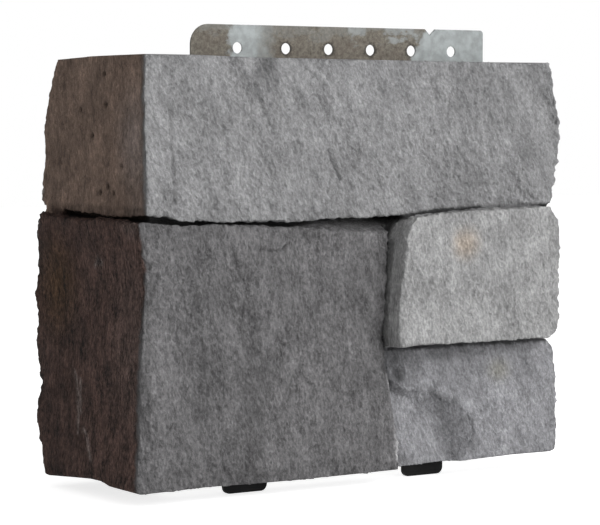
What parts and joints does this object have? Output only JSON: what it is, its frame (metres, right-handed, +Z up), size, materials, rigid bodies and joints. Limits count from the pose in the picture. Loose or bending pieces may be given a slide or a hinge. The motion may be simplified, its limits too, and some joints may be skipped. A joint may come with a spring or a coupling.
{
  "type": "ledger stone corner unit",
  "caption": "L-shaped cast stone corner unit with split-face ledger courses, a galvanised nailing flange on top and black locating tabs below.",
  "frame": {"origin": "bottom centre of the bounding box, level with the ends of the locating tabs", "axes": "+X along the long split face from the outer corner, +Y from the split face back to the wall, +Z up"},
  "size_m": [0.254, 0.1211, 0.228],
  "materials": {
    "cast_stone": "matte",
    "galvanised_steel": "satin",
    "black_coated_steel": "satin"
  },
  "bodies": {
    "root": {"cast_stone_corner": "cast_stone", "nailing_flange": "galvanised_steel", "locating_tab_left": "black_coated_steel", "locating_tab_right": "black_coated_steel"}
  },
  "joints": []
}
